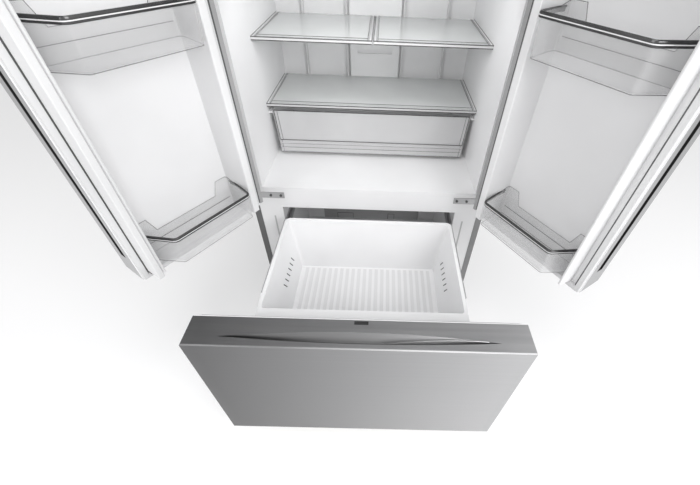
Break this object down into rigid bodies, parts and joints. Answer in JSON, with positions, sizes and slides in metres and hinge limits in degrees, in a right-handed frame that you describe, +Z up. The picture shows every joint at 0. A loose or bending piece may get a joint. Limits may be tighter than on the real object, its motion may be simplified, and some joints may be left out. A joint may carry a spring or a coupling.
{
  "type": "refrigerator",
  "caption": "Free-standing French-door refrigerator with bottom freezer drawer, both doors open and the drawer pulled out, with bins, shelves, crisper and rear machine compartment.",
  "frame": {"origin": "floor level, under the centre of the whole object's box with doors open and drawer out", "axes": "+X to the viewer's right, -Y out of the front, +Z up"},
  "size_m": [1.4174, 1.275, 1.7805],
  "materials": {
    "painted_side_steel": "fine-grained grey paint",
    "galvanised_steel": "dull zinc",
    "foam": "closed-cell foam",
    "white_liner": "satin white",
    "stainless_front": "horizontal brushed",
    "grey_seal": "soft matte",
    "clear_plastic": "clear",
    "shelf_glass": "polished",
    "bright_trim": "bright silver",
    "black_plastic": "fine texture",
    "grey_plastic": "fine texture",
    "painted_bracket": "satin paint",
    "white_foot": "moulded",
    "bright_screw": "plated",
    "aluminium_fin": "mill",
    "dark_coil": "black paint"
  },
  "bodies": {
    "cabinet": {"air_duct": "white_liner", "back_panel": "galvanised_steel", "base_frame": "galvanised_steel", "cabinet_insulation": "foam", "cabinet_shell": "painted_side_steel", "compressor": "dark_coil", "condenser": "dark_coil", "crisper_shelf_frame": "bright_trim", "crisper_shelf_glass": "shelf_glass", "divider_cover": "white_liner", "drain_pan": "black_plastic", "drawer_rails_fixed": "galvanised_steel", "evaporator": "aluminium_fin", "evaporator_cover": "grey_plastic", "fan_bracket": "galvanised_steel", "foot_brackets": "painted_bracket", "freezer_liner": "white_liner", "fresh_food_liner": "white_liner", "hinge_screws": "bright_screw", "lamp_lens": "clear_plastic", "middle_hinges": "galvanised_steel", "rear_cover": "galvanised_steel", "shelf_tracks": "white_liner", "top_hinge_covers": "grey_plastic", "top_hinges": "painted_bracket", "upper_shelf_frames": "bright_trim", "upper_shelf_glass": "shelf_glass"},
    "left_door": {"left_door_bin_trims": "bright_trim", "left_door_bins": "clear_plastic", "left_door_end_caps": "grey_plastic", "left_door_gasket": "grey_seal", "left_door_grip": "black_plastic", "left_door_insulation": "foam", "left_door_liner": "white_liner", "left_door_skin": "stainless_front", "mullion_brackets": "painted_bracket"},
    "right_door": {"right_door_bin_trims": "bright_trim", "right_door_bins": "clear_plastic", "right_door_end_caps": "grey_plastic", "right_door_gasket": "grey_seal", "right_door_grip": "black_plastic", "right_door_insulation": "foam", "right_door_liner": "white_liner", "right_door_skin": "stainless_front"},
    "mullion_flap": {"mullion_flap": "grey_plastic"},
    "freezer_drawer": {"drawer_gasket": "grey_seal", "drawer_insulation": "foam", "drawer_liner": "white_liner", "drawer_rails_moving": "galvanised_steel", "drawer_sensor_plate": "black_plastic", "drawer_skin": "stainless_front", "freezer_basket": "white_liner"},
    "middle_rails": {"drawer_rails_middle": "galvanised_steel"},
    "crisper": {"crisper_drawer": "clear_plastic"},
    "left_foot": {"levelling_foot_left": "white_foot"},
    "right_foot": {"levelling_foot_right": "white_foot"},
    "rollers": {"rear_rollers": "white_foot"},
    "condenser_fan": {"condenser_fan": "black_plastic"},
    "evaporator_fan": {"evaporator_fan": "black_plastic"}
  },
  "joints": [
    {"name": "left_door_hinge", "type": "hinge", "parent": "cabinet", "child": "left_door", "pos_m": [-0.434, -0.0575, 0.64], "axis": [0, 0, -1], "range_deg": [-123, 12]},
    {"name": "right_door_hinge", "type": "hinge", "parent": "cabinet", "child": "right_door", "pos_m": [0.434, -0.0575, 0.64], "axis": [0, 0, 1], "range_deg": [-123, 12]},
    {"name": "mullion_flap_hinge", "type": "hinge", "parent": "left_door", "child": "mullion_flap", "pos_m": [-0.6009, -0.43202, 0.7], "axis": [0, 0, 1], "range_deg": [-90, 0]},
    {"name": "freezer_drawer_slide", "type": "slide", "parent": "cabinet", "child": "freezer_drawer", "axis": [0, -1, 0], "range_m": [-0.533, 0]},
    {"name": "middle_rail_slide", "type": "slide", "parent": "cabinet", "child": "middle_rails", "axis": [0, -1, 0], "range_m": [-0.2665, 0]},
    {"name": "crisper_slide", "type": "slide", "parent": "cabinet", "child": "crisper", "axis": [0, -1, 0], "range_m": [0, 0.3]},
    {"name": "left_foot_turn", "type": "hinge", "parent": "cabinet", "child": "left_foot", "pos_m": [-0.423, -0.0385, 0], "axis": [0, 0, 1], "continuous": true},
    {"name": "right_foot_turn", "type": "hinge", "parent": "cabinet", "child": "right_foot", "pos_m": [0.423, -0.0385, 0], "axis": [0, 0, 1], "continuous": true},
    {"name": "rear_roller_turn", "type": "hinge", "parent": "cabinet", "child": "rollers", "pos_m": [0, 0.5775, 0.019], "axis": [1, 0, 0], "continuous": true},
    {"name": "condenser_fan_spin", "type": "hinge", "parent": "cabinet", "child": "condenser_fan", "pos_m": [-0.116, 0.53, 0.155], "axis": [1, 0, 0], "continuous": true},
    {"name": "evaporator_fan_spin", "type": "hinge", "parent": "cabinet", "child": "evaporator_fan", "pos_m": [0, 0.5401, 0.493], "axis": [0, 1, 0], "continuous": true}
  ],
  "couplings": [
    {"joint": "middle_rail_slide", "follows": "freezer_drawer_slide", "ratio": 0.5}
  ]
}
